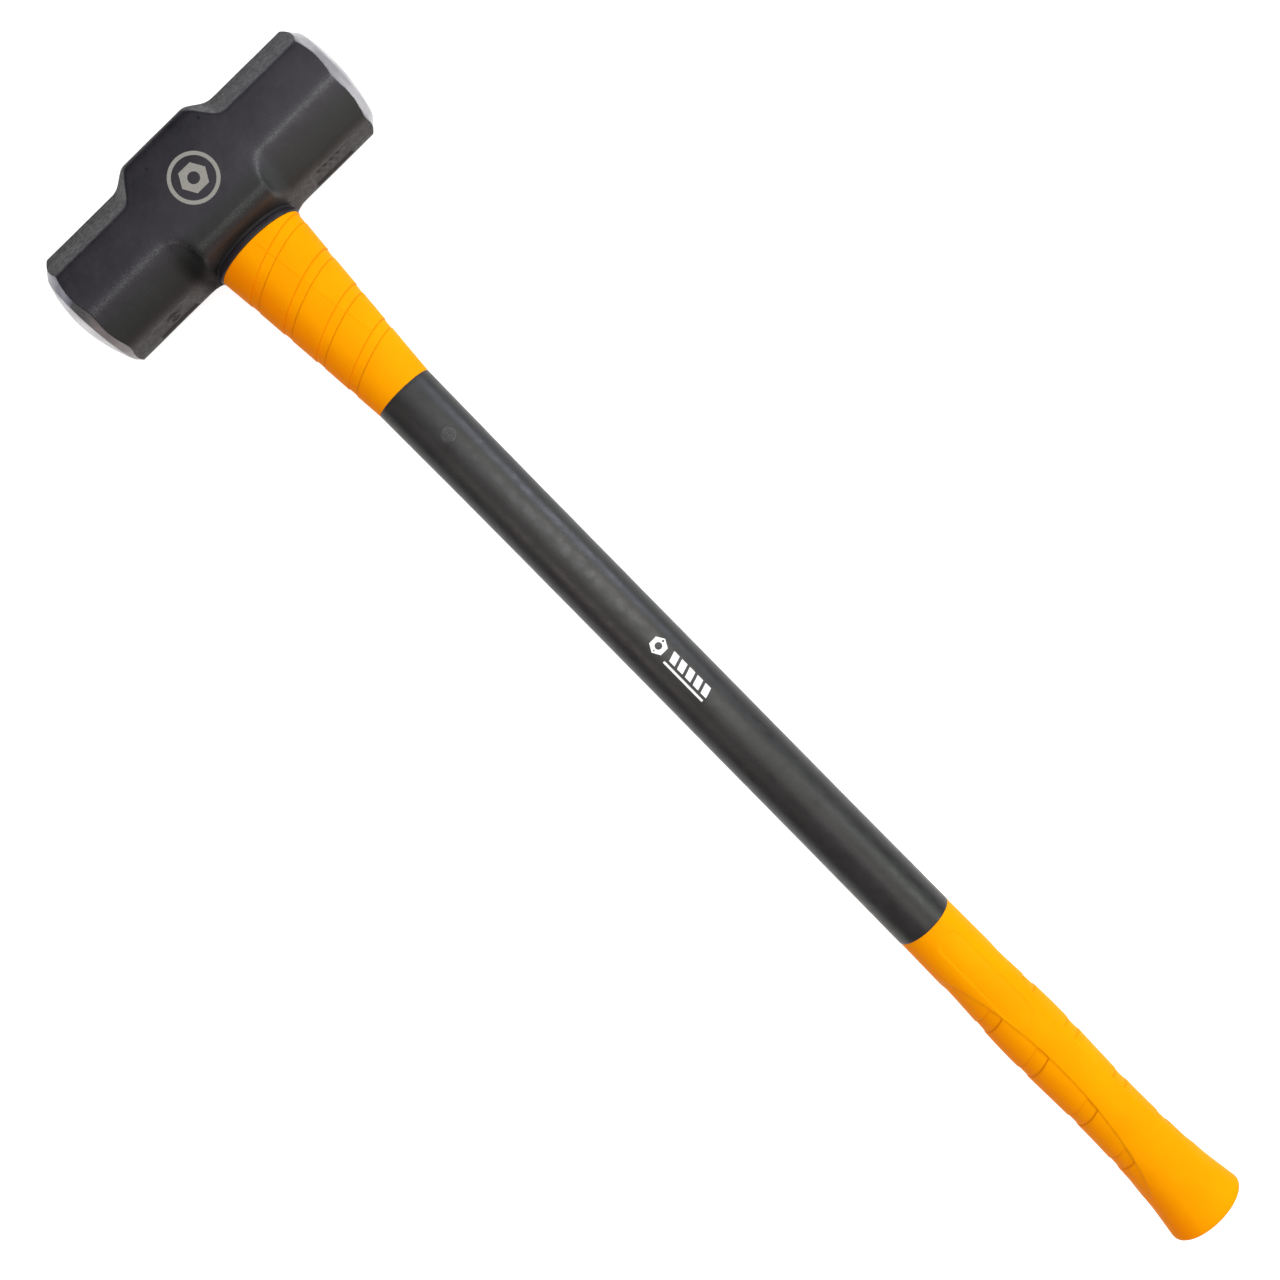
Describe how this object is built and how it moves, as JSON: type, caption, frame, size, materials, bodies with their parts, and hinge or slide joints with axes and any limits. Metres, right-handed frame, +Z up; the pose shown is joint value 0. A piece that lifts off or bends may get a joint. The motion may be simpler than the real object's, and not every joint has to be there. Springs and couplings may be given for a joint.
{
  "type": "sledgehammer",
  "caption": "Double-faced sledgehammer with a forged head of square middle and octagonal ends on a long oval glassfibre handle with moulded collar, sleeve and grip.",
  "frame": {"origin": "middle of the lower cheek of the head, on the surface the hammer lies on", "axes": "+X along the handle from the head to the butt, +Y along the head towards one striking face, +Z up out of the upper cheek"},
  "size_m": [0.8663, 0.2134, 0.0706],
  "materials": {
    "forged_head": "black paint over forged steel, ground bright at the striking faces",
    "glassfibre": "pultruded glassfibre rod",
    "jacket_plastic": "moulded black plastic",
    "eye_resin": "cured black epoxy",
    "black_rubber": "soft black rubber",
    "neck_ring": "satin black moulding",
    "yellow_moulding": "satin yellow-orange moulding",
    "black_sleeve": "satin black moulding"
  },
  "bodies": {
    "root": {"hammer_head": "forged_head", "glassfibre_core": "glassfibre", "core_jacket": "jacket_plastic", "eye_resin": "eye_resin", "eye_gasket": "black_rubber", "neck_ring": "neck_ring", "neck_collar": "yellow_moulding", "shaft_sleeve": "black_sleeve", "hand_grip": "yellow_moulding"}
  },
  "joints": []
}
